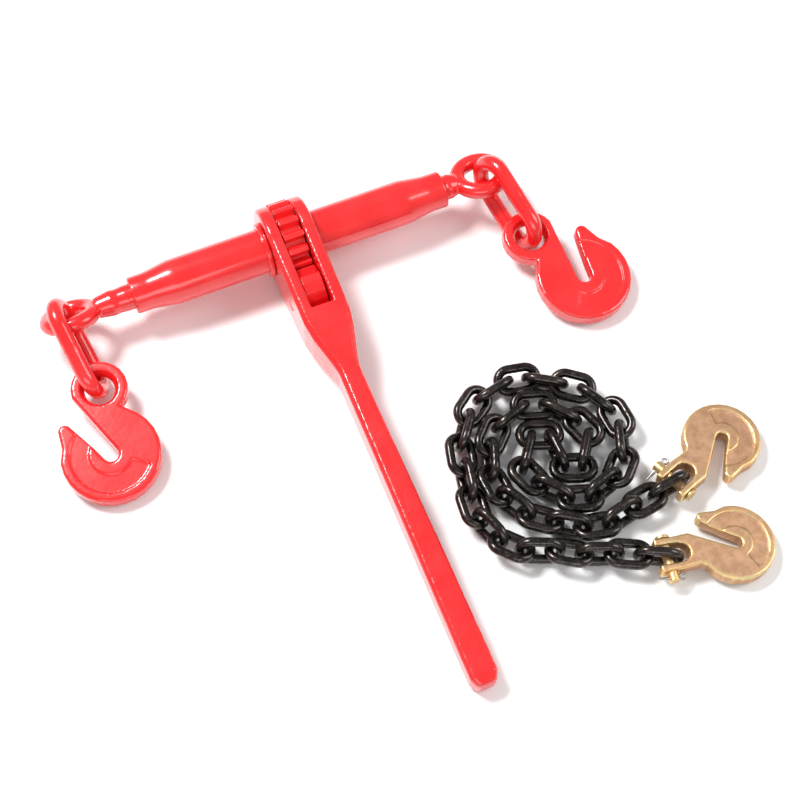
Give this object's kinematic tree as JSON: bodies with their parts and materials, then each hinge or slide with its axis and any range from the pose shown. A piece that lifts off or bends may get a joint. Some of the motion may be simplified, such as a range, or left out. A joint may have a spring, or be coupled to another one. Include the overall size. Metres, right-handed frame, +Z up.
{
  "type": "load binder chain",
  "caption": "Red ratchet load binder with an eye grab hook on each end, beside a coiled black tie-down chain with gold clevis grab hooks.",
  "frame": {"origin": "middle of the whole kit's footprint, on the floor", "axes": "+Z up, +X along the binder's barrel towards the end nearer the chain, and the handle points to -Y"},
  "size_m": [0.4764, 0.4032, 0.063],
  "materials": {
    "red_paint": "glossy red paint over forged and cast steel",
    "bright_steel": "bright plated steel",
    "black_chain": "dark oiled quenched steel",
    "yellow_zinc": "yellow zinc plating with a faint iridescence"
  },
  "bodies": {
    "barrel": {"barrel_tube": "red_paint", "ratchet_gear": "red_paint", "stop_collar": "red_paint"},
    "handle_body": {"handle": "red_paint", "pawl_pin": "bright_steel", "detent_plunger": "bright_steel", "detent_spring": "bright_steel"},
    "pawl_body": {"pawl": "red_paint"},
    "left_screw": {"left_eye_screw": "red_paint"},
    "right_screw": {"right_eye_screw": "red_paint"},
    "left_link": {"left_coupler": "red_paint"},
    "right_link": {"right_coupler": "red_paint"},
    "left_hook": {"left_grab_hook": "red_paint"},
    "right_hook": {"right_grab_hook": "red_paint"},
    "chain": {"coil_centre_links": "black_chain", "long_arm_link_03": "black_chain", "long_arm_link_04": "black_chain", "long_arm_link_05": "black_chain", "long_arm_link_06": "black_chain", "long_arm_link_07": "black_chain", "long_arm_link_08": "black_chain", "long_arm_link_09": "black_chain", "long_arm_link_10": "black_chain", "long_arm_link_11": "black_chain", "long_arm_link_12": "black_chain", "long_arm_link_13": "black_chain", "long_arm_link_14": "black_chain", "long_arm_link_15": "black_chain", "long_arm_link_16": "black_chain", "long_arm_link_17": "black_chain", "long_arm_link_18": "black_chain", "long_arm_link_19": "black_chain", "long_arm_link_20": "black_chain", "long_arm_link_21": "black_chain", "long_arm_link_22": "black_chain", "long_arm_link_23": "black_chain", "long_arm_link_24": "black_chain", "long_arm_link_25": "black_chain", "long_arm_link_26": "black_chain", "short_arm_link_03": "black_chain", "short_arm_link_04": "black_chain", "short_arm_link_05": "black_chain", "short_arm_link_06": "black_chain", "short_arm_link_07": "black_chain", "short_arm_link_08": "black_chain", "short_arm_link_09": "black_chain", "short_arm_link_10": "black_chain", "short_arm_link_11": "black_chain", "short_arm_link_12": "black_chain", "short_arm_link_13": "black_chain", "short_arm_link_14": "black_chain", "short_arm_link_15": "black_chain", "short_arm_link_16": "black_chain"},
    "lower_hook": {"lower_clevis_hook": "yellow_zinc", "lower_clevis_hook_pin": "yellow_zinc", "lower_clevis_hook_cotter": "bright_steel"},
    "upper_hook": {"upper_clevis_hook": "yellow_zinc", "upper_clevis_hook_pin": "yellow_zinc", "upper_clevis_hook_cotter": "bright_steel"}
  },
  "joints": [
    {"name": "handle_swing", "type": "hinge", "parent": "barrel", "child": "handle_body", "pos_m": [-0.02199, 0.1701, 0.0315], "axis": [1, 0, 0], "continuous": true},
    {"name": "pawl_flip", "type": "hinge", "parent": "handle_body", "child": "pawl_body", "pos_m": [-0.02199, 0.11919, 0.02855], "axis": [1, 0, 0], "range_deg": [-14.5, 14.5]},
    {"name": "left_screw_travel", "type": "slide", "parent": "barrel", "child": "left_screw", "axis": [-1, 0, 0], "range_m": [0, 0.085]},
    {"name": "right_screw_travel", "type": "slide", "parent": "barrel", "child": "right_screw", "axis": [1, 0, 0], "range_m": [0, 0.085]},
    {"name": "left_link_swing", "type": "hinge", "parent": "left_screw", "child": "left_link", "pos_m": [-0.19719, 0.15649, 0.04175], "axis": [0.9877, -0.1249, 0.0941], "range_deg": [-20, 48]},
    {"name": "right_link_swing", "type": "hinge", "parent": "right_screw", "child": "right_link", "pos_m": [0.13984, 0.15426, 0.03574], "axis": [0.9511, 0.2985, -0.08], "range_deg": [-8, 50]},
    {"name": "left_hook_swing", "type": "hinge", "parent": "left_link", "child": "left_hook", "pos_m": [-0.19045, 0.12554, 0.02251], "axis": [0.9854, -0.1703, 0], "range_deg": [0, 60]},
    {"name": "right_hook_swing", "type": "hinge", "parent": "right_link", "child": "right_hook", "pos_m": [0.14234, 0.1241, 0.02116], "axis": [0.8671, 0.4981, 0], "range_deg": [0, 22]},
    {"name": "chain_lift", "type": "slide", "parent": "barrel", "child": "chain", "axis": [0, 0, 1], "range_m": [0, 0.05]},
    {"name": "lower_hook_swing", "type": "hinge", "parent": "chain", "child": "lower_hook", "pos_m": [0.13185, -0.16321, 0.0122], "axis": [-0.1736, -0.9848, 0], "range_deg": [0, 70]},
    {"name": "upper_hook_swing", "type": "hinge", "parent": "chain", "child": "upper_hook", "pos_m": [0.1633, -0.11394, 0.0122], "axis": [0.3746, -0.9272, 0], "range_deg": [0, 70]}
  ],
  "couplings": [
    {"joint": "right_screw_travel", "follows": "left_screw_travel", "ratio": 1}
  ]
}
